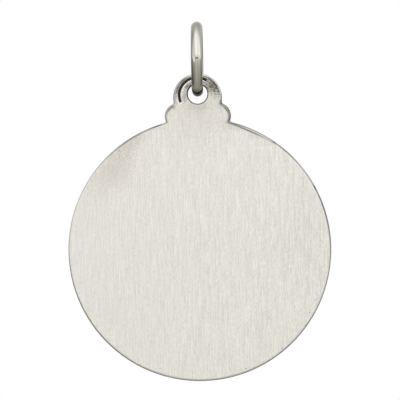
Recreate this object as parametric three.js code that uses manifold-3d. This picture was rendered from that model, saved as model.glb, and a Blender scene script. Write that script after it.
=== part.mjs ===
// Religious medal pendant: one struck silver medal hanging on a round-wire jump ring.
// Units are millimetres and +Z is up. The plain back of the medal faces -Y and its struck
// front faces +Y. The origin is the inside top of the jump ring, where a chain carries it.
import * as THREE from 'three';
import { mergeVertices } from 'three/addons/utils/BufferGeometryUtils.js';
import Module from 'manifold-3d';

const wasm = await Module();
wasm.setup();

// Jump ring: a stock ring, given by its outside diameter and its wire.
const ringOutsideDiameter = 8.0;
const wireDiameter = 1.2;

// Disc of the medal. The same rounded edge runs round the outline and the hole.
const discDiameter = 28.0;
const medalThickness = 1.6;
const edgeRadius = 0.15;

// Hanging tab: a dome between two small shoulder lobes. A stand is the height of a
// centre above the top of the disc, and the spread is a lobe's distance from the middle.
const domeRadius = 2.6;
const domeStand = 2.2;
const lobeRadius = 1.37;
const lobeStand = 0.25;
const lobeSpread = 2.15;

// Hole for the jump ring, a little above the dome's centre.
const holeDiameter = 2.1;
const holeRaise = 0.4;

// Narrowest clearance that is left between the wire and the hole when the medal hangs.
const hangClearance = 0.05;

// Shallow turned groove round the hole, on the back: part of a circle, in degrees
// counted from the right-hand side as the back is seen.
const grooveRadius = 1.88;
const grooveWidth = 0.2;
const grooveDepth = 0.06;
const grooveDrop = 0.13;
const grooveFrom = 49;
const grooveTo = 202;

// Struck front: a plain rim round a sunk field, with a plain Latin cross left standing.
const rimWidth = 1.3;
const fieldDepth = 0.25;
const reliefDraft = 0.12;
const crossHeight = 15.0;
const crossSpan = 10.0;
const crossBarWidth = 2.6;
const crossHeadLength = 3.6;

// Facets: the longest step along an outline and the number of sides of round things.
const outlineStep = 0.6;
const smallArcStep = 0.25;
const holeSides = 32;
const edgeSteps = 3;
const wireSides = 16;
const ringSteps = 72;
const cutterOvershoot = 0.2;

// What follows from the sizes above.
const discRadius = discDiameter / 2;
const wireRadius = wireDiameter / 2;
const holeRadius = holeDiameter / 2;
const ringInsideRadius = ringOutsideDiameter / 2 - wireDiameter;
const ringMeanRadius = ringOutsideDiameter / 2 - wireRadius;
const domeHeight = discRadius + domeStand;
const lobeHeight = discRadius + lobeStand;
const holeHeight = domeHeight + holeRaise;

// The wire curves up on its way through the tab, so it comes nearest to the hole's top
// where the straight part of the hole ends. The medal hangs so far below the wire that
// the clearance is kept there.
const straightThickness = medalThickness - 2 * edgeRadius;
const wireRise = ringInsideRadius - Math.sqrt(ringInsideRadius ** 2 - (straightThickness / 2) ** 2);
const hangDrop = holeRadius - wireRadius - wireRise - hangClearance;
const wireHeight = -ringInsideRadius - ringMeanRadius;
const discCentreHeight = wireHeight - hangDrop - holeHeight;

const polishedSilver = new THREE.MeshStandardMaterial({ color: 0xd9d6d0, roughness: 0.16, metalness: 1 });
const brushedSilver = new THREE.MeshStandardMaterial({ color: 0xe2dfd8, roughness: 0.42, metalness: 1 });

// A closed three.js geometry as a solid that can be cut and joined.
function toSolid(geometry) {
  geometry.deleteAttribute('normal');
  geometry.deleteAttribute('uv');
  const merged = mergeVertices(geometry, 1e-5);
  const vertProperties = new Float32Array(merged.attributes.position.array);
  const triVerts = new Uint32Array(merged.index.array);
  return new wasm.Manifold(new wasm.Mesh({ numProp: 3, vertProperties, triVerts }));
}

// A solid back as a geometry with flat facets.
function toGeometry(solid) {
  const mesh = solid.getMesh();
  const geometry = new THREE.BufferGeometry();
  geometry.setAttribute('position', new THREE.BufferAttribute(new Float32Array(mesh.vertProperties), 3));
  geometry.setIndex(new THREE.BufferAttribute(new Uint32Array(mesh.triVerts), 1));
  const faceted = geometry.toNonIndexed();
  faceted.computeVertexNormals();
  return faceted;
}

// Points along a circle's arc, anticlockwise, without the last one.
function arcPoints(circle, start, end, step) {
  const from = Math.atan2(start.y - circle.y, start.x - circle.x);
  let to = Math.atan2(end.y - circle.y, end.x - circle.x);
  while (to <= from) {
    to += 2 * Math.PI;
  }
  const count = Math.max(3, Math.ceil(((to - from) * circle.r) / step));
  const points = [];
  for (let i = 0; i < count; i += 1) {
    const angle = from + ((to - from) * i) / count;
    points.push(new THREE.Vector2(circle.x + circle.r * Math.cos(angle), circle.y + circle.r * Math.sin(angle)));
  }
  return points;
}

// Where two circles cross, on the side that x points to: 1 is right and -1 is left.
function crossing(a, b, side) {
  const gap = Math.hypot(b.x - a.x, b.y - a.y);
  const along = (a.r ** 2 - b.r ** 2 + gap ** 2) / (2 * gap);
  const off = Math.sqrt(a.r ** 2 - along ** 2);
  const ux = (b.x - a.x) / gap;
  const uy = (b.y - a.y) / gap;
  const first = new THREE.Vector2(a.x + along * ux - off * uy, a.y + along * uy + off * ux);
  const second = new THREE.Vector2(a.x + along * ux + off * uy, a.y + along * uy - off * ux);
  return side * first.x > side * second.x ? first : second;
}

// Outline of disc and tab seen from the back, with the disc's centre at zero.
function medalOutline() {
  const disc = { x: 0, y: 0, r: discRadius };
  const dome = { x: 0, y: domeHeight, r: domeRadius };
  const right = { x: lobeSpread, y: lobeHeight, r: lobeRadius };
  const left = { x: -lobeSpread, y: lobeHeight, r: lobeRadius };
  const rightFoot = crossing(disc, right, 1);
  const rightNotch = crossing(right, dome, 1);
  const leftNotch = crossing(left, dome, -1);
  const leftFoot = crossing(disc, left, -1);
  return [
    ...arcPoints(right, rightFoot, rightNotch, smallArcStep),
    ...arcPoints(dome, rightNotch, leftNotch, smallArcStep),
    ...arcPoints(left, leftNotch, leftFoot, smallArcStep),
    ...arcPoints(disc, leftFoot, rightFoot, outlineStep),
  ];
}

// Blank: the outline with its hole, as thick as the medal, every edge rounded.
function medalBlank() {
  const shape = new THREE.Shape(medalOutline());
  const hole = [];
  for (let i = 0; i < holeSides; i += 1) {
    const angle = (-2 * Math.PI * i) / holeSides;
    hole.push(new THREE.Vector2(holeRadius * Math.cos(angle), holeHeight + holeRadius * Math.sin(angle)));
  }
  shape.holes.push(new THREE.Path(hole));
  const geometry = new THREE.ExtrudeGeometry(shape, {
    depth: straightThickness,
    bevelEnabled: true,
    bevelThickness: edgeRadius,
    bevelSize: edgeRadius,
    bevelOffset: -edgeRadius,
    bevelSegments: edgeSteps,
  });
  geometry.translate(0, 0, -straightThickness / 2);
  return toSolid(geometry);
}

// A die over a surface at z = 0 with tapered walls: the outline is its size at the depth
// given, and it narrows by the draft on its way up to the surface and past it.
function taperedBoss(points, depth, draft) {
  const height = depth + cutterOvershoot;
  const geometry = new THREE.ExtrudeGeometry(new THREE.Shape(points), {
    depth: cutterOvershoot,
    bevelEnabled: true,
    bevelThickness: height,
    bevelSize: (draft * height) / depth,
    bevelOffset: (-draft * height) / depth,
    bevelSegments: 1,
  });
  geometry.translate(0, 0, -cutterOvershoot - depth);
  return toSolid(geometry);
}

// Plain Latin cross, centred on the disc.
function crossOutline() {
  const bar = crossBarWidth / 2;
  const top = crossHeight / 2;
  const span = crossSpan / 2;
  const armTop = top - crossHeadLength;
  const armBottom = armTop - crossBarWidth;
  return [
    [-bar, -top], [bar, -top], [bar, armBottom], [span, armBottom], [span, armTop], [bar, armTop],
    [bar, top], [-bar, top], [-bar, armTop], [-span, armTop], [-span, armBottom], [-bar, armBottom],
  ].map(([x, y]) => new THREE.Vector2(x, y));
}

// What the front die sinks: the field inside the rim, without the cross.
function frontField() {
  const floorRadius = discRadius - rimWidth - reliefDraft;
  const mouthRadius = floorRadius + (reliefDraft * (fieldDepth + cutterOvershoot)) / fieldDepth;
  const sides = Math.ceil((2 * Math.PI * floorRadius) / outlineStep);
  const profile = [
    new THREE.Vector2(0, -fieldDepth),
    new THREE.Vector2(floorRadius, -fieldDepth),
    new THREE.Vector2(mouthRadius, cutterOvershoot),
    new THREE.Vector2(0, cutterOvershoot),
  ];
  const bowl = new THREE.LatheGeometry(profile, sides);
  bowl.rotateX(Math.PI / 2);
  return toSolid(bowl).subtract(taperedBoss(crossOutline(), fieldDepth, reliefDraft));
}

// What the turned groove takes from the back, over a surface at z = 0.
function backGroove() {
  const centre = holeHeight - grooveDrop;
  const outer = grooveRadius + grooveWidth / 2;
  const inner = grooveRadius - grooveWidth / 2;
  const from = THREE.MathUtils.degToRad(grooveFrom);
  const to = THREE.MathUtils.degToRad(grooveTo);
  const steps = Math.ceil(((to - from) * grooveRadius) / smallArcStep);
  const at = (radius, i) => {
    const angle = from + ((to - from) * i) / steps;
    return new THREE.Vector2(radius * Math.cos(angle), centre + radius * Math.sin(angle));
  };
  const points = [];
  for (let i = 0; i <= steps; i += 1) {
    points.push(at(outer, i));
  }
  for (let i = steps; i >= 0; i -= 1) {
    points.push(at(inner, i));
  }
  const geometry = new THREE.ExtrudeGeometry(new THREE.Shape(points), {
    depth: grooveDepth + cutterOvershoot,
    bevelEnabled: false,
  });
  geometry.translate(0, 0, -grooveDepth);
  return toSolid(geometry);
}

// The medal, struck from the blank. It is made lying down with its back up.
function medalSolid() {
  const halfThickness = medalThickness / 2;
  const field = frontField().mirror([0, 0, 1]).translate([0, 0, -halfThickness]);
  const groove = backGroove().translate([0, 0, halfThickness]);
  return medalBlank().subtract(field).subtract(groove);
}

const medal = new THREE.Mesh(toGeometry(medalSolid()), brushedSilver);
medal.name = 'medal';

// Stood up, the back faces -Y and the tab points up.
const hanging = new THREE.Group();
hanging.position.set(0, 0, discCentreHeight);
hanging.rotation.x = Math.PI / 2;
hanging.add(medal);

// The ring stands square to the medal, so that its wire crosses the tab at right angles.
const ringGeometry = new THREE.TorusGeometry(ringMeanRadius, wireRadius, wireSides, ringSteps);
const jumpRing = new THREE.Mesh(ringGeometry, polishedSilver);
jumpRing.name = 'jump_ring';
jumpRing.rotation.y = Math.PI / 2;
jumpRing.position.set(0, 0, -ringInsideRadius);

const pendant = new THREE.Group();
pendant.name = 'medal_pendant';
pendant.add(hanging, jumpRing);

export default pendant;
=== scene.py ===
# %% [markdown]
# A silver medal on its jump ring, dressed for a close photograph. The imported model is
# loaded first and stays as it is: it says where each piece sits and how large it is.
# Everything made here is in metres, in the same frame, with +Z up and the plain back of
# the medal facing -Y, towards the camera.

import math

import bmesh
import bpy
import numpy as np
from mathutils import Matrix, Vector
from mathutils.geometry import delaunay_2d_cdt


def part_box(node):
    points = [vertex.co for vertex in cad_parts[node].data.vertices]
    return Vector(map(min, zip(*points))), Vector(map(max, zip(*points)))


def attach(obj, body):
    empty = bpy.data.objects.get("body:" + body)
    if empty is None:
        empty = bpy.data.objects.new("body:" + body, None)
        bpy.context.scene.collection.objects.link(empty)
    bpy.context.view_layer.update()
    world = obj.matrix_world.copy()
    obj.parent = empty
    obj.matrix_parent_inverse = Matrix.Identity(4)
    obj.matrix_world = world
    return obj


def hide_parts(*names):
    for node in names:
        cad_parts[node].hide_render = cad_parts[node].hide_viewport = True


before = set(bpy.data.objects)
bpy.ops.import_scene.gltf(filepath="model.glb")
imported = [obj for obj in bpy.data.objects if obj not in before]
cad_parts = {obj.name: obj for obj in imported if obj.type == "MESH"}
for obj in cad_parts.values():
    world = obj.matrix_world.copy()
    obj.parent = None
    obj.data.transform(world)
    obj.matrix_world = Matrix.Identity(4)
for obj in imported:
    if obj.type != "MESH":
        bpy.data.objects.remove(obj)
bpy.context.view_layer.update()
MM = 0.001
medal_low, medal_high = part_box("medal")
ring_low, ring_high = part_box("jump_ring")

# %% [markdown]
# The photograph is taken square to the back of the medal with a long lens, and the object
# fills most of the frame. The lens is worked out from the width of the picture in
# millimetres, so that the disc comes out as large as in the photograph. The whole object
# leans a little less than a degree to the left there, which the camera copies by rolling.
# It also stands one degree to the right, so that the far side of the jump ring looks out
# from behind the near side.

# %% The camera
PICTURE_WIDTH = 42.58 * MM
CAMERA_DISTANCE = 400 * MM
CAMERA_ROLL = math.radians(0.83)
CAMERA_TURN = math.radians(1.0)
SENSOR_WIDTH = 36
NEAREST_SEEN = 10 * MM
DISC_RADIUS = (medal_high.x - medal_low.x) / 2
DISC_CENTRE_Z = medal_low.z + DISC_RADIUS
VIEW_ABOVE_DISC = 5.29 * MM
VIEW_RIGHT_OF_DISC = 0.09 * MM

camera_data = bpy.data.cameras.new("camera")
camera = bpy.data.objects.new("camera", camera_data)
bpy.context.scene.collection.objects.link(camera)
camera_data.sensor_width = SENSOR_WIDTH
camera_data.lens = SENSOR_WIDTH * (CAMERA_DISTANCE + medal_low.y) / PICTURE_WIDTH
camera_data.clip_start = NEAREST_SEEN
camera.location = (
    VIEW_RIGHT_OF_DISC + CAMERA_DISTANCE * math.sin(CAMERA_TURN),
    -CAMERA_DISTANCE * math.cos(CAMERA_TURN),
    DISC_CENTRE_Z + VIEW_ABOVE_DISC,
)
camera.rotation_euler = (math.radians(90), 0, CAMERA_TURN)
camera.rotation_euler.rotate_axis("Z", -CAMERA_ROLL)
bpy.context.scene.camera = camera
bpy.context.scene.view_settings.view_transform = "Standard"
print("lens", round(camera_data.lens), "mm")

# %% [markdown]
# Colours are written as hex values, as a colour picker gives them, and one function turns
# them into the linear numbers that a shader wants. One more function adds a node to a
# tree: it takes the node's type, its settings and what goes into its sockets. A Mix node
# has sockets of every kind, so its two colours and its mixed colour are known by number.

# %% Colour and node helpers
MIX_A = 6
MIX_B = 7
MIXED = 2


def colour(hex_value):
    """A #rrggbb colour as linear red, green, blue and alpha."""
    channels = [int(hex_value[i:i + 2], 16) / 255 for i in (1, 3, 5)]
    linear = [c / 12.92 if c <= 0.04045 else ((c + 0.055) / 1.055) ** 2.4 for c in channels]
    return (*linear, 1.0)


def add(tree, kind, inputs=None, **settings):
    """Adds a node. A value given for a socket is set, and another node's socket is linked."""
    node = tree.nodes.new(kind)
    for name, value in settings.items():
        setattr(node, name, value)
    for socket, value in (inputs or {}).items():
        if isinstance(value, bpy.types.NodeSocket):
            tree.links.new(value, node.inputs[socket])
        else:
            node.inputs[socket].default_value = value
    return node


print("silver", [round(c, 3) for c in colour("#e2dfd8")])

# %% [markdown]
# Polished metal shows nothing but what stands round it, so the studio is built for its
# reflections. The world is painted by direction, first with two ramps of brightness. One
# goes right round the object, in degrees: 0 is the camera, 90 straight up, 180 straight
# behind and -90 straight down. It gives a large softbox in front and overhead, a dimmer
# room behind the object that falls off straight behind it, and a shaded table side below,
# darkest at the back. The other goes from the left wall, at -1, to the right wall, at 1.

# %% Two ramps of brightness round the room
OVER_THE_TOP = {
    -180: 0.24, -172: 0.25, -150: 0.06, -127: 0.10, -104: 0.22, -78: 0.30, -42: 0.37, -17: 0.44,
    -3: 0.51, 8: 0.72, 16: 0.88, 60: 0.88, 80: 0.80, 92: 0.64, 108: 0.45, 125: 0.40, 146: 0.40,
    160: 0.46, 171: 0.36, 180: 0.24,
}
LEFT_TO_RIGHT = {
    -1.0: 0.68, -0.88: 0.62, -0.72: 0.56, -0.45: 0.82, -0.2: 1.0, 0.0: 1.0, 0.2: 0.91, 0.46: 0.82,
    0.7: 0.85, 1.0: 0.84,
}

world = bpy.data.worlds.new("studio")
bpy.context.scene.world = world
world.use_nodes = True
studio = world.node_tree
studio.nodes.clear()
way = add(studio, "ShaderNodeTexCoord").outputs["Generated"]
way_part = add(studio, "ShaderNodeSeparateXYZ", {"Vector": way}).outputs
to_camera = add(studio, "ShaderNodeMath", {0: way_part["Y"], 1: -1.0}, operation="MULTIPLY")
angle = add(studio, "ShaderNodeMath", {0: way_part["Z"], 1: to_camera.outputs[0]}, operation="ARCTAN2")
round_share = add(studio, "ShaderNodeMath", {
    0: angle.outputs[0], 1: 1 / math.tau, 2: 0.5,
}, operation="MULTIPLY_ADD")
wall_share = add(studio, "ShaderNodeMath", {0: way_part["X"], 1: 0.5, 2: 0.5}, operation="MULTIPLY_ADD")
levels = []
for share, table in ((round_share, OVER_THE_TOP), (wall_share, LEFT_TO_RIGHT)):
    ramp_node = add(studio, "ShaderNodeValToRGB", {"Fac": share.outputs[0]})
    stops = ramp_node.color_ramp.elements
    first, last = min(table), max(table)
    for key in list(table)[1:-1]:
        stops.new((key - first) / (last - first))
    for stop, level in zip(stops, table.values()):
        stop.color = (level, level, level, 1.0)
    levels.append(ramp_node.outputs["Color"])
room = add(studio, "ShaderNodeMath", {0: levels[0], 1: levels[1]}, operation="MULTIPLY")
print("brightness stops", len(OVER_THE_TOP), "and", len(LEFT_TO_RIGHT))

# %% [markdown]
# Smaller things stand in the room. The right wall glows a little, a small lamp stands to
# the left of the camera, and the camera with its stand is a dark strip at the height of
# the object. The table side is a little warmer than the rest. Each of them ends in a soft
# step, so that no hard edge shows in the metal. A step runs from one value of the direction
# to another, and says what it gives at its start and at its end.

# %% Lamp, wall, camera strip and table side
LAMP_WAY = (-0.78, -0.625, -0.03)
STRIP_HEIGHT = 0.03
SOFT_STEPS = {
    "right wall": {"from": 0.5, "to": 0.95, "start": 0.0, "end": 0.04},
    "lamp": {"from": 0.985, "to": 0.996, "start": 0.0, "end": 0.8},
    "strip upright": {"from": 0.0275, "to": 0.055, "start": 1.0, "end": 0.0},
    "strip sideways": {"from": 0.35, "to": 0.5, "start": 1.0, "end": 0.0},
    "strip in front": {"from": -0.1, "to": 0.1, "start": 0.95, "end": 0.0},
    "table side": {"from": -0.45, "to": -0.05, "start": 1.0, "end": 0.0},
}

near_lamp = add(studio, "ShaderNodeVectorMath", {
    0: way, 1: tuple(Vector(LAMP_WAY).normalized()),
}, operation="DOT_PRODUCT")
above_strip = add(studio, "ShaderNodeMath", {0: way_part["Z"], 1: STRIP_HEIGHT}, operation="SUBTRACT")
off_strip = add(studio, "ShaderNodeMath", {0: above_strip.outputs[0]}, operation="ABSOLUTE")
off_middle = add(studio, "ShaderNodeMath", {0: way_part["X"]}, operation="ABSOLUTE")
read_from = {
    "right wall": way_part["X"],
    "lamp": near_lamp.outputs["Value"],
    "strip upright": off_strip.outputs[0],
    "strip sideways": off_middle.outputs[0],
    "strip in front": way_part["Y"],
    "table side": way_part["Z"],
}
soft = {}
for name, ends in SOFT_STEPS.items():
    soft[name] = add(studio, "ShaderNodeMapRange", {
        "Value": read_from[name], "From Min": ends["from"], "From Max": ends["to"],
        "To Min": ends["start"], "To Max": ends["end"],
    }, interpolation_type="SMOOTHSTEP").outputs["Result"]
strip_area = add(studio, "ShaderNodeMath", {
    0: soft["strip upright"], 1: soft["strip sideways"],
}, operation="MULTIPLY")
strip = add(studio, "ShaderNodeMath", {
    0: strip_area.outputs[0], 1: soft["strip in front"],
}, operation="MULTIPLY")
print("soft steps", ", ".join(soft))

# %% [markdown]
# All of it together is what the metal reflects. The lens itself sees plain white behind
# the object, as in the photograph.

# %% What is reflected and what the lens sees
ROOM_LEVEL = 1.84
WHITE = "#ffffff"
TABLE_SIDE = "#fbf6ef"

with_wall = add(studio, "ShaderNodeMath", {0: room.outputs[0], 1: soft["right wall"]}, operation="ADD")
with_lamp = add(studio, "ShaderNodeMath", {0: with_wall.outputs[0], 1: soft["lamp"]}, operation="ADD")
past_strip = add(studio, "ShaderNodeMath", {0: 1.0, 1: strip.outputs[0]}, operation="SUBTRACT")
lit_room = add(studio, "ShaderNodeMath", {
    0: with_lamp.outputs[0], 1: past_strip.outputs[0],
}, operation="MULTIPLY")
brightness = add(studio, "ShaderNodeMath", {0: lit_room.outputs[0], 1: ROOM_LEVEL}, operation="MULTIPLY")
tint = add(studio, "ShaderNodeMix", {
    "Factor": soft["table side"], MIX_A: colour(WHITE), MIX_B: colour(TABLE_SIDE),
}, data_type="RGBA")
reflected = add(studio, "ShaderNodeBackground", {
    "Color": tint.outputs[MIXED], "Strength": brightness.outputs[0],
})
backdrop = add(studio, "ShaderNodeBackground", {"Color": colour(WHITE), "Strength": 1.0})
path = add(studio, "ShaderNodeLightPath")
seen = add(studio, "ShaderNodeMixShader", {
    0: path.outputs["Is Camera Ray"], 1: reflected.outputs[0], 2: backdrop.outputs[0],
})
add(studio, "ShaderNodeOutputWorld", {"Surface": seen.outputs[0]})
print("world nodes", len(studio.nodes))

# %% [markdown]
# A plain pale floor, painted matt, lies well below the hanging pendant. It is seen when
# the camera looks down from the side. The metal doesn't mirror it: the world's shaded
# lower half takes its place there, as the table's shade does in the photograph.

# %% The floor
FLOOR_DROP = 34 * MM
FLOOR_HALF_SIZE = 420 * MM
MATT = 0.9

floor_mesh = bpy.data.meshes.new("floor")
floor_z = medal_low.z - FLOOR_DROP
corners = [(-1, -1), (1, -1), (1, 1), (-1, 1)]
floor_mesh.from_pydata(
    [(x * FLOOR_HALF_SIZE, y * FLOOR_HALF_SIZE, floor_z) for x, y in corners], [], [(0, 1, 2, 3)]
)
floor = bpy.data.objects.new("floor", floor_mesh)
bpy.context.scene.collection.objects.link(floor)
floor_paint = bpy.data.materials.new("pale_floor_paint")
floor_paint.use_nodes = True
floor_paint.node_tree.nodes["Principled BSDF"].inputs["Base Color"].default_value = colour("#fbfaf8")
floor_paint.node_tree.nodes["Principled BSDF"].inputs["Roughness"].default_value = MATT
floor_mesh.materials.append(floor_paint)
floor.visible_glossy = False
print("floor at", round(floor_z / MM, 1), "mm")

# %% [markdown]
# The medal is sterling silver, struck in one piece and brushed upright on an abrasive belt.
# The belt leaves fine parallel lines, so the metal shines softly and has no clear
# reflections. The pattern is stretched noise on the object's own coordinates: short lines,
# long lines and a little grain, all about as wide as the grit of a fine belt. The lines
# are stronger on the right, as if the belt had been pressed harder there.

# %% A plain silver, and noise in streaks
def silver_material(name, base, roughness):
    """A plain silver and its object coordinates, ready for its pattern. It keeps the default IOR.

    The plain colour and roughness stay for a viewer that can't read the pattern.
    """
    material = bpy.data.materials.new(name)
    material.use_nodes = True
    tree = material.node_tree
    shader = tree.nodes["Principled BSDF"]
    shader.inputs["Metallic"].default_value = 1.0
    shader.inputs["Base Color"].default_value = colour(base)
    shader.inputs["Roughness"].default_value = roughness
    place = add(tree, "ShaderNodeTexCoord").outputs["Object"]
    return material, tree, shader, place


def stretched_noise(tree, place, width, length, detail):
    """Noise in streaks along Z, of a given width and length. It lies round one half."""
    scaled = add(tree, "ShaderNodeMapping", {"Vector": place, "Scale": (1 / width, 1 / width, 1 / length)})
    return add(tree, "ShaderNodeTexNoise", {
        "Vector": scaled.outputs[0], "Scale": 1.0, "Detail": detail, "Roughness": 0.6,
    }).outputs["Fac"]


brushed, tree, shader, place = silver_material("brushed_sterling_silver", "#f1eee6", 0.42)
print("default IOR", round(shader.inputs["IOR"].default_value, 2))

# %% Brush lines of the belt
BRUSH_LINE = 0.054 * MM
BRUSH_LENGTH = 0.36 * MM
LONG_LINE = 0.055 * MM
LONG_LENGTH = 1.6 * MM
LONG_LINE_SHARE = 0.6
GRAIN_SIZE = 0.09 * MM
GRAIN_SHARE = 0.3
PRESSURE_LEFT = 0.65
PRESSURE_RIGHT = 1.22
TONE_SWING = 0.34
DARK_LINE = "#dedbd4"
BRIGHT_LINE = "#fffdf6"

lines = stretched_noise(tree, place, BRUSH_LINE, BRUSH_LENGTH, 1.0)
long_lines = stretched_noise(tree, place, LONG_LINE, LONG_LENGTH, 0.0)
grains = stretched_noise(tree, place, GRAIN_SIZE, GRAIN_SIZE, 1.0)
all_lines = add(tree, "ShaderNodeMath", {
    0: long_lines, 1: LONG_LINE_SHARE, 2: lines,
}, operation="MULTIPLY_ADD")
line_swing = add(tree, "ShaderNodeMath", {
    0: all_lines.outputs[0], 1: (1 + LONG_LINE_SHARE) / 2,
}, operation="SUBTRACT")
across_medal = add(tree, "ShaderNodeSeparateXYZ", {"Vector": place}).outputs["X"]
pressure = add(tree, "ShaderNodeMapRange", {
    "Value": across_medal, "From Min": medal_low.x, "From Max": medal_high.x,
    "To Min": PRESSURE_LEFT, "To Max": PRESSURE_RIGHT,
})
line_tone = add(tree, "ShaderNodeMath", {
    0: line_swing.outputs[0], 1: pressure.outputs[0], 2: 1 - GRAIN_SHARE / 2,
}, operation="MULTIPLY_ADD")
tone = add(tree, "ShaderNodeMath", {
    0: grains, 1: GRAIN_SHARE, 2: line_tone.outputs[0],
}, operation="MULTIPLY_ADD")
streak_tone = add(tree, "ShaderNodeMapRange", {
    "Value": tone.outputs[0], "From Min": 1 - TONE_SWING, "From Max": 1 + TONE_SWING,
})
silver = add(tree, "ShaderNodeMix", {
    "Factor": streak_tone.outputs[0], MIX_A: colour(DARK_LINE), MIX_B: colour(BRIGHT_LINE),
}, data_type="RGBA").outputs[MIXED]
print("brush lines", round(BRUSH_LENGTH / MM, 2), "and", round(LONG_LENGTH / MM, 2), "mm long")

# %% [markdown]
# Silver tarnishes where it is rubbed least. The patches are a table of soft ellipses, each
# with the colour that the silver is multiplied by: a pinkish patch of tarnish at the upper
# left of the back, painted shade that makes the tab and the right side duller, and small
# dark smudges on the dome, on the left lobe and below the hole. Places are in millimetres
# from the centre of the disc, sizes are half lengths in millimetres, and the turn is in
# degrees. A patch is centred on the back face and fades out halfway through the metal, so
# it doesn't show on the front.

# %% Tarnish, smudges and painted shade
PATCH_REACH = 0.8 * MM
PATCH_EDGE = {"cloud": 0.12 * MM, "unevenness": 1.8, "full_to": 0.9, "gone_at": 1.9}
STAINS_AND_SHADE = [
    {"x": -9.2, "z": 8.7, "along": 4.6, "across": 3.0, "turn": 45, "strength": 0.8, "colour": "#ebe7e4"},
    {"x": -7.3, "z": 11.3, "along": 3.2, "across": 1.3, "turn": 35, "strength": 0.6, "colour": "#e8e5e3"},
    # Painted shade: duller over the tab and the top of the disc.
    {"x": 0.0, "z": 14.8, "along": 6.6, "across": 5.6, "turn": 0, "strength": 0.75, "colour": "#f1efee"},
    # Painted shade: duller on the right side.
    {"x": 11.5, "z": 1.5, "along": 5.5, "across": 9.0, "turn": 0, "strength": 0.4, "colour": "#f4f3f2"},
    {"x": -2.7, "z": 15.3, "along": 0.7, "across": 0.3, "turn": -40, "strength": 0.7, "colour": "#a5a198"},
    {"x": 1.55, "z": 17.5, "along": 1.9, "across": 1.1, "turn": -42, "strength": 1.0, "colour": "#82807a"},
    {"x": 1.8, "z": 16.8, "along": 1.1, "across": 0.7, "turn": -80, "strength": 0.5, "colour": "#b0aca3"},
    {"x": 0.0, "z": 15.2, "along": 1.8, "across": 0.8, "turn": 0, "strength": 0.3, "colour": "#c0bdb6"},
    {"x": -1.75, "z": 18.0, "along": 1.1, "across": 0.5, "turn": 42, "strength": 0.5, "colour": "#b4b0a7"},
    {"x": -1.0, "z": 17.45, "along": 0.9, "across": 0.45, "turn": 40, "strength": 1.0, "colour": "#98948a"},
    {"x": -1.35, "z": 16.3, "along": 0.9, "across": 0.45, "turn": 80, "strength": 0.7, "colour": "#b0aca3"},
    {"x": -2.2, "z": 16.95, "along": 1.1, "across": 0.4, "turn": 80, "strength": 0.8, "colour": "#a29e94"},
]

cloud = add(tree, "ShaderNodeTexNoise", {"Vector": place, "Scale": 1 / PATCH_EDGE["cloud"], "Detail": 2.0})
for patch in STAINS_AND_SHADE:
    centre = (patch["x"] * MM, medal_low.y, patch["z"] * MM + DISC_CENTRE_Z)
    from_patch = add(tree, "ShaderNodeVectorMath", {0: place, 1: centre}, operation="SUBTRACT")
    turned = add(tree, "ShaderNodeMapping", {
        "Vector": from_patch.outputs[0], "Rotation": (0, math.radians(patch["turn"]), 0),
    })
    in_patch = add(tree, "ShaderNodeVectorMath", {
        0: turned.outputs[0],
        1: (1 / (patch["along"] * MM), 1 / PATCH_REACH, 1 / (patch["across"] * MM)),
    }, operation="MULTIPLY")
    off_patch = add(tree, "ShaderNodeVectorMath", {0: in_patch.outputs[0]}, operation="LENGTH")
    uneven = add(tree, "ShaderNodeMath", {
        0: cloud.outputs["Fac"], 1: PATCH_EDGE["unevenness"], 2: off_patch.outputs["Value"],
    }, operation="MULTIPLY_ADD")
    strength = add(tree, "ShaderNodeMapRange", {
        "Value": uneven.outputs[0], "From Min": PATCH_EDGE["full_to"], "From Max": PATCH_EDGE["gone_at"],
        "To Min": patch["strength"], "To Max": 0.0,
    }, interpolation_type="SMOOTHSTEP")
    silver = add(tree, "ShaderNodeMix", {
        "Factor": strength.outputs[0], MIX_A: silver, MIX_B: colour(patch["colour"]),
    }, data_type="RGBA", blend_type="MULTIPLY").outputs[MIXED]
print("stains", len(STAINS_AND_SHADE))

# %% [markdown]
# The mesh brings two numbers of its own, which are worked out further down. The first turns
# the colour near-black: dirt in the groove and the dents, and painted shade in the groove,
# along the edge and at the mouth of the hole. The second paints a white highlight and makes
# the metal smoother, on the lip of the groove and the rounding of the dome. The lines also
# give the silver its relief, and its roughness goes up and down with them.

# %% Grime, painted shade, painted highlights and relief of the brushed silver
# Near-black, for dirt and for painted shade.
DIRT_AND_SHADE = "#1e1c1a"
LINE_RANGE = (0.3, 0.7)
LINE_ROUGHNESS = (0.36, 0.46)
BURNISHED_ROUGHNESS = 0.25
BRUSH_RELIEF = {"Strength": 0.5, "Distance": 0.012 * MM}

grime_and_shade = add(tree, "ShaderNodeAttribute", attribute_name="grime_and_shade")
burnish_and_highlight = add(tree, "ShaderNodeAttribute", attribute_name="burnish_and_highlight")
# A painted white highlight is mixed in where the second number is high; near-black dirt and painted shade
# follow.
highlighted_silver = add(tree, "ShaderNodeMix", {
    "Factor": burnish_and_highlight.outputs["Fac"], MIX_A: silver, MIX_B: colour(WHITE),
}, data_type="RGBA")
soiled_and_shaded = add(tree, "ShaderNodeMix", {
    "Factor": grime_and_shade.outputs["Fac"], MIX_A: highlighted_silver.outputs[MIXED], MIX_B: colour(DIRT_AND_SHADE),
}, data_type="RGBA")
belt_finish = add(tree, "ShaderNodeMapRange", {
    "Value": lines, "From Min": LINE_RANGE[0], "From Max": LINE_RANGE[1],
    "To Min": LINE_ROUGHNESS[0], "To Max": LINE_ROUGHNESS[1],
})
roughness = add(tree, "ShaderNodeMix", {
    "Factor": burnish_and_highlight.outputs["Fac"], "A": belt_finish.outputs[0], "B": BURNISHED_ROUGHNESS,
}, data_type="FLOAT")
relief = add(tree, "ShaderNodeBump", {"Height": lines, **BRUSH_RELIEF})
tree.links.new(soiled_and_shaded.outputs[MIXED], shader.inputs["Base Color"])
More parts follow.
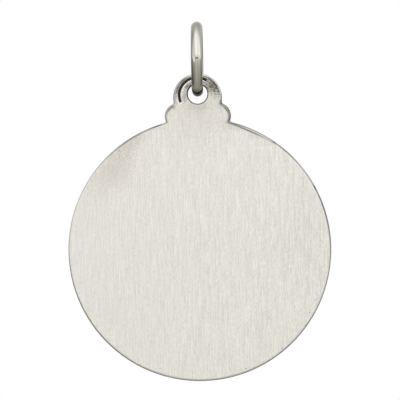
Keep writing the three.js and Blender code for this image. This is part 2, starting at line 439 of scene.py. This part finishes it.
tree.links.new(roughness.outputs[0], shader.inputs["Roughness"])
tree.links.new(relief.outputs[0], shader.inputs["Normal"])
print("material", brushed.name)

# %% [markdown]
# The sunk field of a struck medal keeps the fine grain of a sandblasted die. It is a dull
# frosted surface, without lines, beside the brushed rim and cross. The grain is drawn as
# coarse as it needs to be to show.

# %% Frosted silver of the front's field
FROST_GRAIN = 0.09 * MM
FROST_RELIEF = {"Strength": 0.7, "Distance": 0.02 * MM}

frosted, tree, shader, place = silver_material("frosted_sterling_silver", "#f3f0e7", 0.52)
grain = add(tree, "ShaderNodeTexNoise", {"Vector": place, "Scale": 1 / FROST_GRAIN, "Detail": 2.0})
grain_relief = add(tree, "ShaderNodeBump", {"Height": grain.outputs["Fac"], **FROST_RELIEF})
tree.links.new(grain_relief.outputs[0], shader.inputs["Normal"])
print("material", frosted.name)

# %% [markdown]
# The jump ring is drawn silver wire, tumbled until it shines. Drawing leaves faint lines
# along the wire. They follow the ring round, so the pattern is read from the distance to
# the ring's centre and from the side, and changes only slowly with the turn round it. Real
# ones are finer: these are wide enough to show. The lowest stretch, which sits in the
# medal's hole, is darkened with painted shade, and the top is painted a little darker.

# %% Drawn lines of the wire
RING_CENTRE = (ring_low + ring_high) / 2
DRAWN_LINE = 0.07 * MM
DRAWN_DRIFT = 0.1 * MM
DRAWN_RANGE = (0.3, 0.7)
DRAWN_ROUGHNESS = (0.07, 0.12)
DRAWN_RELIEF = {"Strength": 0.25, "Distance": 0.006 * MM}
WIRE_SILVER = "#cac7be"

polished, tree, shader, place = silver_material("polished_silver_wire", WIRE_SILVER, 0.1)
from_centre = add(tree, "ShaderNodeVectorMath", {0: place, 1: tuple(RING_CENTRE)}, operation="SUBTRACT")
part = add(tree, "ShaderNodeSeparateXYZ", {"Vector": from_centre.outputs[0]}).outputs
in_plane = add(tree, "ShaderNodeCombineXYZ", {"X": 0.0, "Y": part["Y"], "Z": part["Z"]})
out = add(tree, "ShaderNodeVectorMath", {0: in_plane.outputs[0]}, operation="LENGTH")
turn = add(tree, "ShaderNodeMath", {0: part["Z"], 1: part["Y"]}, operation="ARCTAN2")
drift = add(tree, "ShaderNodeMath", {0: turn.outputs[0], 1: DRAWN_DRIFT}, operation="MULTIPLY")
drawn_place = add(tree, "ShaderNodeCombineXYZ", {
    "X": part["X"], "Y": out.outputs["Value"], "Z": drift.outputs[0],
})
drawn = add(tree, "ShaderNodeTexNoise", {
    "Vector": drawn_place.outputs[0], "Scale": 1 / DRAWN_LINE, "Detail": 2.0,
})
drawn_relief = add(tree, "ShaderNodeBump", {"Height": drawn.outputs["Fac"], **DRAWN_RELIEF})
drawn_shine = add(tree, "ShaderNodeMapRange", {
    "Value": drawn.outputs["Fac"], "From Min": DRAWN_RANGE[0], "From Max": DRAWN_RANGE[1],
    "To Min": DRAWN_ROUGHNESS[0], "To Max": DRAWN_ROUGHNESS[1],
})
tree.links.new(drawn_relief.outputs[0], shader.inputs["Normal"])
tree.links.new(drawn_shine.outputs[0], shader.inputs["Roughness"])
print("drawn lines", round(DRAWN_LINE / MM, 2), "mm wide")

# %% Painted shade low on the wire, and a darker top
# The lowest stretch is painted shade, where it sits in the hole; the top is painted a little darker.
DARKENED_WIRE = "#2b2926"
DARKENED_STRETCHES = [
    {"from_z": ring_low.z + 0.1 * MM, "to_z": ring_low.z + 1.1 * MM, "start": 0.85, "end": 0.0},
    {"from_z": ring_high.z - 1.0 * MM, "to_z": ring_high.z, "start": 0.0, "end": 0.4},
]

height = add(tree, "ShaderNodeSeparateXYZ", {"Vector": place}).outputs["Z"]
shaded_low, darker_top = [
    add(tree, "ShaderNodeMapRange", {
        "Value": height, "From Min": stretch["from_z"], "From Max": stretch["to_z"],
        "To Min": stretch["start"], "To Max": stretch["end"],
    }, interpolation_type="SMOOTHSTEP").outputs["Result"]
    for stretch in DARKENED_STRETCHES
]
darkened = add(tree, "ShaderNodeMath", {0: shaded_low, 1: darker_top}, operation="MAXIMUM")
darkened_tone = add(tree, "ShaderNodeMix", {
    "Factor": darkened.outputs[0], MIX_A: colour(WIRE_SILVER), MIX_B: colour(DARKENED_WIRE),
}, data_type="RGBA")
tree.links.new(darkened_tone.outputs[MIXED], shader.inputs["Base Color"])
print("material", polished.name)

# %% [markdown]
# A jump ring follows a rule: one wire section carried round one circle. Geometry Nodes
# say exactly that, with the outside diameter and the wire as named inputs. Both come from
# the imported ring's box, so the smooth ring lies where the model's ring is. The tree is
# evaluated once and kept as a plain mesh.

# %% The jump ring in Geometry Nodes
RING_STEPS = 192
WIRE_SIDES = 48

ring_tree = bpy.data.node_groups.new("jump_ring_from_wire", "GeometryNodeTree")
ring_tree.interface.new_socket("Outside diameter", in_out="INPUT", socket_type="NodeSocketFloat")
ring_tree.interface.new_socket("Wire diameter", in_out="INPUT", socket_type="NodeSocketFloat")
ring_tree.interface.new_socket("Centre", in_out="INPUT", socket_type="NodeSocketVector")
ring_tree.interface.new_socket("Geometry", in_out="OUTPUT", socket_type="NodeSocketGeometry")
sizes = add(ring_tree, "NodeGroupInput").outputs
half_wire = add(ring_tree, "ShaderNodeMath", {0: sizes["Wire diameter"], 1: 0.5}, operation="MULTIPLY")
half_ring = add(ring_tree, "ShaderNodeMath", {0: sizes["Outside diameter"], 1: 0.5}, operation="MULTIPLY")
mean_radius = add(ring_tree, "ShaderNodeMath", {
    0: half_ring.outputs[0], 1: half_wire.outputs[0],
}, operation="SUBTRACT")
round_path = add(ring_tree, "GeometryNodeCurvePrimitiveCircle", {
    "Resolution": RING_STEPS, "Radius": mean_radius.outputs[0],
})
section = add(ring_tree, "GeometryNodeCurvePrimitiveCircle", {
    "Resolution": WIRE_SIDES, "Radius": half_wire.outputs[0],
})
swept = add(ring_tree, "GeometryNodeCurveToMesh", {
    "Curve": round_path.outputs["Curve"], "Profile Curve": section.outputs["Curve"],
})
stood = add(ring_tree, "GeometryNodeTransform", {
    "Geometry": swept.outputs[0], "Rotation": (0, math.radians(90), 0), "Translation": sizes["Centre"],
})
smooth = add(ring_tree, "GeometryNodeSetShadeSmooth", {"Geometry": stood.outputs[0]})
real = add(ring_tree, "GeometryNodeRealizeInstances", {"Geometry": smooth.outputs[0]})
finished = add(ring_tree, "GeometryNodeSetMaterial", {"Geometry": real.outputs[0], "Material": polished})
add(ring_tree, "NodeGroupOutput", {"Geometry": finished.outputs[0]})


def mesh_from_nodes(name, tree, values):
    """Runs a Geometry Nodes tree with its named inputs and keeps the result as a plain mesh."""
    holder = bpy.data.objects.new(name, bpy.data.meshes.new(name))
    bpy.context.scene.collection.objects.link(holder)
    modifier = holder.modifiers.new("nodes", "NODES")
    modifier.node_group = tree
    for item in tree.interface.items_tree:
        if item.in_out == "INPUT":
            modifier[item.identifier] = values[item.name]
    evaluated = holder.evaluated_get(bpy.context.evaluated_depsgraph_get())
    mesh = bpy.data.meshes.new_from_object(evaluated)
    holder.modifiers.remove(modifier)
    holder.data = mesh
    return holder


ring_size = ring_high - ring_low
ring = mesh_from_nodes("jump_ring_wire", ring_tree, {
    "Outside diameter": ring_size.z, "Wire diameter": ring_size.x, "Centre": RING_CENTRE,
})
print("ring", len(ring.data.polygons), "faces,", round(ring_size.z / MM, 2), "mm across")

# %% [markdown]
# The medal's outline is one disc, a dome and two small lobes, run together. Each circle is
# written as a distance: negative inside, zero on its edge. The smallest of the distances
# is the outline of all four, and a soft minimum rounds the notches between them, as
# polishing does. The same distance, read a little inside the edge, gives the lines that
# the rounded edge is built on. All of it is worked out in millimetres from the centre of
# the disc, x to the right and z up, as the back is seen.

# %% The outline as a distance
DOME_RADIUS = 2.6
DOME_CENTRE = (0.0, 16.2)
LOBE_RADIUS = 1.37
LOBE_CENTRE = (2.15, 14.25)
HOLE_RADIUS = 1.05
HOLE_CENTRE = (0.0, 16.6)
NOTCH_FILLET = 0.25
disc_radius = DISC_RADIUS / MM
half_thickness = medal_high.y / MM


def circle(x, z, centre, radius):
    """Distance from a circle, negative inside it."""
    return np.hypot(x - centre[0], z - centre[1]) - radius


def soft_minimum(a, b, width):
    """The smaller of two distances, rounded where they cross."""
    share = np.clip(width - np.abs(a - b), 0, None) / width
    return np.minimum(a, b) - share * share * width / 4


def ramp(value, low, high):
    """A smooth rise from 0 to 1 between two values."""
    t = np.clip((value - low) / (high - low), 0, 1)
    return t * t * (3 - 2 * t)


def outline(x, z):
    """Distance from the medal's outline, negative on the metal. The hole isn't in it."""
    lobes = circle(np.abs(x), z, LOBE_CENTRE, LOBE_RADIUS)
    shape = soft_minimum(circle(x, z, (0, 0), disc_radius), lobes, NOTCH_FILLET)
    return soft_minimum(shape, circle(x, z, DOME_CENTRE, DOME_RADIUS), NOTCH_FILLET)


print("outline at the dome's top", round(float(outline(0, DOME_CENTRE[1] + DOME_RADIUS)), 3))

# %% [markdown]
# Seen from a point between disc and tab, the outline is met once in every direction. So a
# line at any distance inside the edge is found by walking out along each direction and
# halving the step until the distance fits. The directions are spread so that the small
# curves of the tab get closer points than the big one of the disc.

# %% Lines that follow the edge
HUB = (0.0, 8.0)
NEAREST_EDGE = 4.0
FARTHEST_EDGE = 24.0
HALVINGS = 40
TRIAL_DIRECTIONS = 20001
DISC_STEP = 0.2
TAB_STEP = 0.06
TAB_STEPS_FROM_TOP = 0.8


def edge_line(directions, inset):
    """Points at a distance inside the outline, one for each direction from the hub."""
    near = np.full(len(directions), NEAREST_EDGE)
    far = np.full(len(directions), FARTHEST_EDGE)
    for _ in range(HALVINGS):
        middle = (near + far) / 2
        x = HUB[0] + middle * np.cos(directions)
        z = HUB[1] + middle * np.sin(directions)
        inside = outline(x, z) < -inset
        near = np.where(inside, middle, near)
        far = np.where(inside, far, middle)
    return np.stack([x, z], axis=1)


def spread_directions():
    """Directions from the hub that give even steps on the disc and closer ones on the tab."""
    fine = np.linspace(-math.pi / 2, 1.5 * math.pi, TRIAL_DIRECTIONS)
    line = edge_line(fine, 0.0)
    length = np.hypot(*np.diff(line, axis=0).T)
    step_here = np.where(line[:-1, 1] > disc_radius - TAB_STEPS_FROM_TOP, TAB_STEP, DISC_STEP)
    run = np.concatenate([[0.0], np.cumsum(length / step_here)])
    count = int(run[-1])
    return np.interp(np.arange(count) * run[-1] / count, run, fine)


directions = spread_directions()
print("points round the outline", len(directions))

# %% [markdown]
# Both faces are flat metal with a little relief. The relief is written as a depth below
# the face for any point of it. On the back there are the turned groove round the hole,
# with a long slope on its inner side and a short wall on its outer one, and a few small
# dents. On the front the die sank the field and left the rim and a plain cross standing.

# %% Depth of the back
GROOVE_CENTRE = (-0.07, 16.43)
GROOVE_RADIUS = 1.9
GROOVE_DEPTH = 0.08
GROOVE_WALLS = {"slope_start": -0.24, "slope_end": -0.08, "wall_start": 0.09, "wall_end": 0.13}
GROOVE_ENDS = {"fade_from": 53, "full_from": 62, "full_to": 197, "fade_to": 206}
DENTS = [
    {"x": 11.03, "z": -8.25, "radius": 0.13, "depth": 0.07},
    {"x": 8.57, "z": -10.65, "radius": 0.10, "depth": 0.04},
    {"x": 4.76, "z": -12.73, "radius": 0.10, "depth": 0.04},
    {"x": 11.58, "z": -6.88, "radius": 0.08, "depth": 0.03},
    {"x": -4.43, "z": -12.61, "radius": 0.08, "depth": 0.03},
    {"x": -7.01, "z": -0.50, "radius": 0.08, "depth": 0.03},
    {"x": -7.54, "z": 6.77, "radius": 0.08, "depth": 0.03},
    {"x": -9.12, "z": -0.40, "radius": 0.07, "depth": 0.025},
    {"x": -7.90, "z": -2.05, "radius": 0.09, "depth": 0.025},
    {"x": -9.50, "z": -9.00, "radius": 0.07, "depth": 0.025},
    {"x": 9.64, "z": -2.40, "radius": 0.07, "depth": 0.025},
]


def groove_shares(x, z):
    """How deep the turned groove is here across and along it, both from 0 to 1."""
    off = circle(x, z, GROOVE_CENTRE, GROOVE_RADIUS)
    angle = np.degrees(np.arctan2(z - GROOVE_CENTRE[1], x - GROOVE_CENTRE[0])) % 360
    across = ramp(off, GROOVE_WALLS["slope_start"], GROOVE_WALLS["slope_end"])
    across = across * (1 - ramp(off, GROOVE_WALLS["wall_start"], GROOVE_WALLS["wall_end"]))
    along = ramp(angle, GROOVE_ENDS["fade_from"], GROOVE_ENDS["full_from"])
    return across, along * (1 - ramp(angle, GROOVE_ENDS["full_to"], GROOVE_ENDS["fade_to"]))


def back_depth(x, z):
    """Depth below the flat back, in millimetres."""
    across, along = groove_shares(x, z)
    depth = GROOVE_DEPTH * across * along
    for dent in DENTS:
        near = np.hypot(x - dent["x"], z - dent["z"]) / dent["radius"]
        depth = depth + dent["depth"] * (1 - ramp(near, 0, 1))
    return depth


print("groove depth at its left", round(float(back_depth(-GROOVE_RADIUS, GROOVE_CENTRE[1])), 3))

# %% Depth of the front
RIM_WIDTH = 1.3
FIELD_DEPTH = 0.25
RELIEF_DRAFT = 0.12
CROSS_HEIGHT = 15.0
CROSS_SPAN = 10.0
CROSS_BAR = 2.6
CROSS_HEAD = 3.6
rim_radius = disc_radius - RIM_WIDTH


def bar(x, z, centre, half_width, half_height):
    """Distance from an upright rectangle, negative inside it."""
    out_x = np.abs(x - centre[0]) - half_width
    out_z = np.abs(z - centre[1]) - half_height
    outside = np.hypot(np.maximum(out_x, 0), np.maximum(out_z, 0))
    return outside + np.minimum(np.maximum(out_x, out_z), 0)


def cross(x, z):
    """Distance from the plain Latin cross at its foot, negative inside it."""
    arm_middle = CROSS_HEIGHT / 2 - CROSS_HEAD - CROSS_BAR / 2
    upright = bar(x, z, (0, 0), CROSS_BAR / 2, CROSS_HEIGHT / 2)
    return np.minimum(upright, bar(x, z, (0, arm_middle), CROSS_SPAN / 2, CROSS_BAR / 2))


def front_depth(x, z):
    """Depth below the rim's face, in millimetres."""
    field = 1 - ramp(np.hypot(x, z), rim_radius - RELIEF_DRAFT, rim_radius)
    return FIELD_DEPTH * field * ramp(cross(x, z), -RELIEF_DRAFT, 0)


print("field depth", round(float(front_depth(8.0, -6.0)), 3))

# %% [markdown]
# Each face is covered by points: wide apart where it is flat, close together on slopes,
# and in rows along the edge line and round the hole. A constrained Delaunay triangulation
# joins them, and it keeps the rows as edges. That puts small faces only where the metal
# curves, which a plain grid couldn't do within the same count.

# %% Points of a face
FLAT_STEP = 0.8
SLOPE_STEP = 0.055
ROW_STEP = 0.03
SUPPORT = 0.04
CLEAR_OF_EDGE = 4 * SUPPORT
CLEAR_OF_HOLE = 1.5 * SUPPORT
HOLE_EDGE_RADIUS = 0.12
HOLE_EDGE_DEPTH = 0.22
HOLE_STEPS = 96


def ring_points(centre, radius, count):
    """Evenly spread points on a circle."""
    angle = np.arange(count) * 2 * math.pi / count
    return np.stack([centre[0] + radius * np.cos(angle), centre[1] + radius * np.sin(angle)], axis=1)


def grid(low_x, high_x, low_z, high_z, step_length):
    """A square grid of points."""
    x, z = np.meshgrid(np.arange(low_x, high_x, step_length), np.arange(low_z, high_z, step_length))
    return np.stack([x.ravel(), z.ravel()], axis=1)


def keep_on_face(points, inset):
    """The points that lie clear of the edge rows and of the hole."""
    x, z = points.T
    on_metal = outline(x, z) < -inset - CLEAR_OF_EDGE
    off_hole = circle(x, z, HOLE_CENTRE, HOLE_RADIUS) > HOLE_EDGE_RADIUS + CLEAR_OF_HOLE
    return points[on_metal & off_hole]


print("slope points every", SLOPE_STEP, "mm")

# %% Triangles of a face
EDGE_SUPPORTS = (0, 1, 2.5)
HOLE_SUPPORTS = (0, 1)
INSIDE_THE_LOOPS = 1
SAME_POINT = 1e-7
HOLE_SLACK = 1e-3


def triangulate(loops, points):
    """Joins closed loops and free points into triangles, without those inside the hole."""
    rows = [*loops, points]
    starts = np.cumsum([0] + [len(row) for row in rows])
    edges = []
    for start, loop in zip(starts, loops):
        edges += [(int(start) + i, int(start) + (i + 1) % len(loop)) for i in range(len(loop))]
    flat_points = [Vector(p) for p in np.concatenate(rows)]
    verts, _, faces, *_ = delaunay_2d_cdt(flat_points, edges, [], INSIDE_THE_LOOPS, SAME_POINT)
    placed = np.array([tuple(v) for v in verts])
    middle = placed[np.array([list(f) for f in faces])].mean(axis=1)
    off_hole = circle(middle[:, 0], middle[:, 1], HOLE_CENTRE, HOLE_RADIUS + HOLE_EDGE_RADIUS)
    return placed, [tuple(f) for f, off in zip(faces, off_hole) if off > -HOLE_SLACK]


def face_loops(inset):
    """The rows round a face: three at and inside the edge's rounding, and two round the hole."""
    edge_rows = [edge_line(directions, inset + share * SUPPORT) for share in EDGE_SUPPORTS]
    hole_rows = [
        ring_points(HOLE_CENTRE, HOLE_RADIUS + HOLE_EDGE_RADIUS + share * SUPPORT, HOLE_STEPS)
        for share in HOLE_SUPPORTS
    ]
    return edge_rows + hole_rows


print("rows round a face", len(EDGE_SUPPORTS), "at the edge and", len(HOLE_SUPPORTS), "at the hole")

# %% [markdown]
# The edge of the back was broken by hand after striking, so its rounding isn't even. The
# places where it differs are listed with their centre, and each fades out over its spread:
# there the rounding is wider or narrower, and painted shade darkens it or a line along its
# inner side. The last one is a small nick in the edge on the right.

# %% The uneven edge of the back
EDGE_WIDTH = 0.19
EDGE_DEPTH = 0.34
# Both darkening values of a place are painted shade: the grime value over the rounding, line in a thin line
# along its inner side.
EDGE_PLACES = [
    {"x": 5.6, "z": 12.8, "spread": 1.7, "extra": 0.10, "grime_and_shade": 0.42, "line": 1.0},
    {"x": 3.7, "z": 13.5, "spread": 0.9, "extra": -0.03, "grime_and_shade": 0.36, "line": 0.2},
    {"x": 8.05, "z": 11.34, "spread": 0.15, "extra": 0.0, "grime_and_shade": 0.25, "line": 0.3},
    {"x": 9.4, "z": 10.4, "spread": 1.6, "extra": 0.0, "grime_and_shade": 0.55, "line": 0.0},
    {"x": 13.0, "z": 3.9, "spread": 3.6, "extra": 0.0, "grime_and_shade": 0.75, "line": 0.0},
    {"x": -7.0, "z": 12.1, "spread": 2.4, "extra": 0.0, "grime_and_shade": 0.55, "line": 0.3},
    {"x": -4.3, "z": 13.3, "spread": 0.6, "extra": 0.0, "grime_and_shade": 0.5, "line": 0.0},
    {"x": 2.45, "z": 15.62, "spread": 0.2, "extra": 0.0, "grime_and_shade": 0.55, "line": 0.0},
    {"x": 1.9, "z": 18.1, "spread": 1.0, "extra": 0.04, "grime_and_shade": 0.0, "line": 0.95},
    {"x": -1.7, "z": 18.2, "spread": 0.9, "extra": 0.0, "grime_and_shade": 0.0, "line": 0.9},
    {"x": -2.5, "z": 16.8, "spread": 0.8, "extra": 0.08, "grime_and_shade": 0.1, "line": 0.3},
    {"x": 3.2, "z": 15.2, "spread": 0.6, "extra": 0.08, "grime_and_shade": 0.55, "line": 1.0},
    {"x": -3.1, "z": 15.1, "spread": 0.5, "extra": 0.04, "grime_and_shade": 0.15, "line": 0.9},
    {"x": 0.0, "z": -14.0, "spread": 7.0, "extra": 0.05, "grime_and_shade": 0.0, "line": 0.0},
    {"x": 12.26, "z": 6.41, "spread": 0.14, "extra": 0.2, "grime_and_shade": 0.7, "line": 0.0},
]
PLAIN_EDGE = 0.15


def edge_sum(points, what):
    """Adds up what the places of the edge bring to each point."""
    total = np.zeros(len(points))
    for spot in EDGE_PLACES:
        away = np.hypot(points[:, 0] - spot["x"], points[:, 1] - spot["z"]) / spot["spread"]
        total = total + spot[what] * np.exp(-0.5 * away ** 2)
    return total


plain_line = edge_line(directions, 0.0)
back_edge = EDGE_WIDTH + edge_sum(plain_line, "extra")
print("edge rounding", round(back_edge.min(), 3), "to", round(back_edge.max(), 3), "mm")

# %% The back face
GROOVE_POINTS = 220
DENT_POINTS = 16
DENT_ROWS = (0.15, 0.35, 0.55, 0.75, 0.95, 1.2)

flat = grid(-disc_radius, disc_radius, -disc_radius, DOME_CENTRE[1] + DOME_RADIUS, FLAT_STEP)
groove_from = GROOVE_WALLS["slope_start"] - SUPPORT
groove_to = GROOVE_WALLS["wall_end"] + SUPPORT
groove_rows = [
    ring_points(GROOVE_CENTRE, GROOVE_RADIUS + off, GROOVE_POINTS)
    for off in np.arange(groove_from, groove_to, ROW_STEP)
]
dent_rows = [
    ring_points((dent["x"], dent["z"]), dent["radius"] * share, DENT_POINTS)
    for dent in DENTS
    for share in DENT_ROWS
]
back_points = np.concatenate([flat, *groove_rows, *dent_rows])
back_points = keep_on_face(back_points, EDGE_WIDTH + edge_sum(back_points, "extra"))
back_plane, back_faces = triangulate(face_loops(back_edge), back_points)
print("back", len(back_faces), "triangles")

# %% The front face
RIM_POINTS = 420
RIM_ROWS = {"inside": 0.2, "outside": 0.1}
CROSS_ROWS = {"inside": 0.24, "outside": 0.12}
SPARE_STEPS = 3.5

rim_rows = [
    ring_points((0, 0), radius, RIM_POINTS)
    for radius in np.arange(rim_radius - RIM_ROWS["inside"], rim_radius + RIM_ROWS["outside"], ROW_STEP)
]
half_span, half_height = [
    SLOPE_STEP * (math.ceil(size / 2 / SLOPE_STEP) + SPARE_STEPS) for size in (CROSS_SPAN, CROSS_HEIGHT)
]
cross_band = grid(-half_span, half_span, -half_height, half_height, SLOPE_STEP)
from_cross = cross(*cross_band.T)
cross_band = cross_band[(from_cross > -CROSS_ROWS["inside"]) & (from_cross < CROSS_ROWS["outside"])]
front_points = keep_on_face(np.concatenate([flat, *rim_rows, cross_band]), PLAIN_EDGE)
front_plane, front_faces = triangulate(face_loops(PLAIN_EDGE), front_points)
print("front", len(front_faces), "triangles")

# %% [markdown]
# The rounded edge joins the two faces. It is a stack of rows: each follows the outline a
# little further in and a little nearer the face, on a quarter of an ellipse. The hole gets
# the same treatment. The pieces are then sewn into one closed skin.

# %% The rounded edges
EDGE_ROWS = 7


def quarter(width, depth):
    """Insets and depths along a quarter of an ellipse, from the wall to the face."""
    angle = np.linspace(0, math.pi / 2, EDGE_ROWS)
    return [(width * (1 - math.cos(a)), depth * (1 - math.sin(a))) for a in angle]


def edge_stack(row_at, back, front):
    """Rows of 3-D points from the back's face line over the wall to the front's."""
    rows = [(row_at(inset), -half_thickness + below) for inset, below in reversed(quarter(*back))]
    rows += [(row_at(inset), half_thickness - below) for inset, below in quarter(*front)]
    return [
        np.stack([row[:, 0], np.full(len(row), level), row[:, 1]], axis=1) for row, level in rows
    ]


outer_rows = edge_stack(
    lambda inset: edge_line(directions, inset), (back_edge, EDGE_DEPTH), (PLAIN_EDGE, PLAIN_EDGE)
)
hole_rows = edge_stack(
    lambda inset: ring_points(HOLE_CENTRE, HOLE_RADIUS + inset, HOLE_STEPS),
    (HOLE_EDGE_RADIUS, HOLE_EDGE_DEPTH), (HOLE_EDGE_RADIUS, HOLE_EDGE_DEPTH),
)
print("rows over the edge", len(outer_rows), "and through the hole", len(hole_rows))

# %% The whole medal
WELD = 0.0005 * MM


def sew(rows, start):
    """Quads between neighbouring closed rows, numbered from start."""
    count = len(rows[0])
    return [
        (start + r * count + i, start + r * count + (i + 1) % count,
         start + (r + 1) * count + (i + 1) % count, start + (r + 1) * count + i)
        for r in range(len(rows) - 1)
        for i in range(count)
    ]


points = [
    np.stack([back_plane[:, 0], -half_thickness + back_depth(*back_plane.T), back_plane[:, 1]], axis=1),
    np.stack([front_plane[:, 0], half_thickness - front_depth(*front_plane.T), front_plane[:, 1]], axis=1),
    *outer_rows,
    *hole_rows,
]
front_start = len(back_plane)
outer_start = front_start + len(front_plane)
hole_start = outer_start + sum(len(row) for row in outer_rows)
faces = list(back_faces)
faces += [tuple(front_start + i for i in face) for face in front_faces]
faces += sew(outer_rows, outer_start)
faces += sew(hole_rows, hole_start)
placed = np.concatenate(points) * MM + np.array([0, 0, DISC_CENTRE_Z])
medal_mesh = bpy.data.meshes.new("struck_medal")
medal_mesh.from_pydata(placed.tolist(), [], faces)
skin = bmesh.new()
skin.from_mesh(medal_mesh)
bmesh.ops.remove_doubles(skin, verts=skin.verts, dist=WELD)
bmesh.ops.recalc_face_normals(skin, faces=skin.faces)
open_edges = sum(not edge.is_manifold for edge in skin.edges)
skin.to_mesh(medal_mesh)
skin.free()
medal_mesh.shade_smooth()
medal = bpy.data.objects.new("struck_medal", medal_mesh)
bpy.context.scene.collection.objects.link(medal)
print("medal", len(medal_mesh.polygons), "faces,", open_edges, "open edges")

# %% [markdown]
# Dirt stays where a polishing cloth doesn't reach, and what stands out is polished smooth.
# Both are stored on the mesh as numbers for each point of the back, and the brushed silver
# reads them. The first is near-black dirt with painted shade in the groove, dirt in the
# dents, and painted shade on the rounding of the edge, in a line along its inner side and
# at the mouth of the hole. The second is a painted white highlight with a smoother finish,
# on the lip of the groove and on the rounding of the dome. Distances are in millimetres,
# apart from the hole's, which are shares of its rounding.

# %% Grime, painted shade and painted highlights of the back
# Dirt with painted shade in the groove.
GROOVE_GRIME_AND_SHADE = {
    "across_from": 0.35, "across_full": 0.6, "along_from": 0.05, "along_full": 0.5, "strength": 0.97,
}
DENT_GRIME = {"from_depth": 0.005, "full_depth": 0.03, "strength": 0.8}
# Painted shade over the rounding of the edge and in a line along its inner side.
EDGE_SHADE = {"full_to": 0.12, "gone_at": 0.20, "everywhere": 0.08}
SHADE_LINE_WIDTH = 0.075
# Painted shade at the mouth of the hole.
HOLE_SHADE = {"full_to": 0.7, "gone_at": 1.1, "strength": 0.85}
# Painted white highlights with a smoother finish, on the groove's lip and the dome's rounding.
LIP_BURNISH_AND_HIGHLIGHT = {"off": -0.18, "width": 0.045, "strength": 0.7}
DOME_WEAR_AND_HIGHLIGHT = {"from_z": 16.2, "full_z": 17.4, "full_to": 0.08, "gone_at": 0.16, "strength": 0.7}

co = np.array([v.co for v in medal_mesh.vertices])
x_mm = co[:, 0] / MM
z_mm = (co[:, 2] - DISC_CENTRE_Z) / MM
on_back = co[:, 1] / MM < -half_thickness / 2
across, along = groove_shares(x_mm, z_mm)
# Dirt with painted shade in the groove.
in_groove = ramp(across, GROOVE_GRIME_AND_SHADE["across_from"], GROOVE_GRIME_AND_SHADE["across_full"])
in_groove = in_groove * ramp(along, GROOVE_GRIME_AND_SHADE["along_from"], GROOVE_GRIME_AND_SHADE["along_full"])
in_dent = ramp(back_depth(x_mm, z_mm), DENT_GRIME["from_depth"], DENT_GRIME["full_depth"])
in_dent = in_dent * (across * along == 0)
flat_places = np.stack([x_mm, z_mm], axis=1)
inside = -outline(x_mm, z_mm)
# Painted shade over the edge's rounding, and in a thin line along its inner side.
edge_shade = 1 - ramp(inside, EDGE_SHADE["full_to"], EDGE_SHADE["gone_at"])
edge_shade = edge_shade * (EDGE_SHADE["everywhere"] + edge_sum(flat_places, "grime_and_shade"))
off_rounding = inside - EDGE_WIDTH - edge_sum(flat_places, "extra")
edge_shade = edge_shade + np.exp(-(off_rounding / SHADE_LINE_WIDTH) ** 2) * edge_sum(flat_places, "line")
# Painted shade at the mouth of the hole, over its rounding.
off_hole = circle(x_mm, z_mm, HOLE_CENTRE, HOLE_RADIUS) / HOLE_EDGE_RADIUS
hole_shade = 1 - ramp(off_hole, HOLE_SHADE["full_to"], HOLE_SHADE["gone_at"])
grime_and_shade_parts = [
    GROOVE_GRIME_AND_SHADE["strength"] * in_groove,
    DENT_GRIME["strength"] * in_dent,
    edge_shade,
    HOLE_SHADE["strength"] * hole_shade,
]
# Painted white highlights on the lip of the groove and the rounding of the dome.
off_lip = circle(x_mm, z_mm, GROOVE_CENTRE, GROOVE_RADIUS) - LIP_BURNISH_AND_HIGHLIGHT["off"]
lip = LIP_BURNISH_AND_HIGHLIGHT["strength"] * along * np.exp(-(off_lip / LIP_BURNISH_AND_HIGHLIGHT["width"]) ** 2)
on_rounding = 1 - ramp(inside, DOME_WEAR_AND_HIGHLIGHT["full_to"], DOME_WEAR_AND_HIGHLIGHT["gone_at"])
dome_wear_and_highlight = DOME_WEAR_AND_HIGHLIGHT["strength"] * on_rounding * ramp(z_mm, DOME_WEAR_AND_HIGHLIGHT["from_z"], DOME_WEAR_AND_HIGHLIGHT["full_z"])
marks = {
    "grime_and_shade": np.clip(np.max(grime_and_shade_parts, axis=0), 0, 1),
    "burnish_and_highlight": np.maximum(lip, dome_wear_and_highlight),
}
for name, values in marks.items():
    on_points = medal_mesh.attributes.new(name, "FLOAT", "POINT")
    on_points.data.foreach_set("value", np.where(on_back, values, 0.0).astype(np.float32))
print("points with grime over one half", int((marks["grime_and_shade"][on_back] > 0.5).sum()))

# %% Brushed and frosted faces
SUNK_SHARE = 0.9

medal_mesh.materials.append(brushed)
medal_mesh.materials.append(frosted)
for polygon in medal_mesh.polygons:
    x, y, z = polygon.center / MM
    z -= DISC_CENTRE_Z / MM
    sunk = y > 0 and float(front_depth(x, z)) > SUNK_SHARE * FIELD_DEPTH
    polygon.material_index = 1 if sunk else 0
print("frosted faces", sum(p.material_index for p in medal_mesh.polygons))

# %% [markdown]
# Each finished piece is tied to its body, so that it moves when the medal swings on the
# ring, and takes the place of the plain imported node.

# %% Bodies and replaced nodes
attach(medal, "medal")
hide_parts("medal")
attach(ring, "ring")
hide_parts("jump_ring")
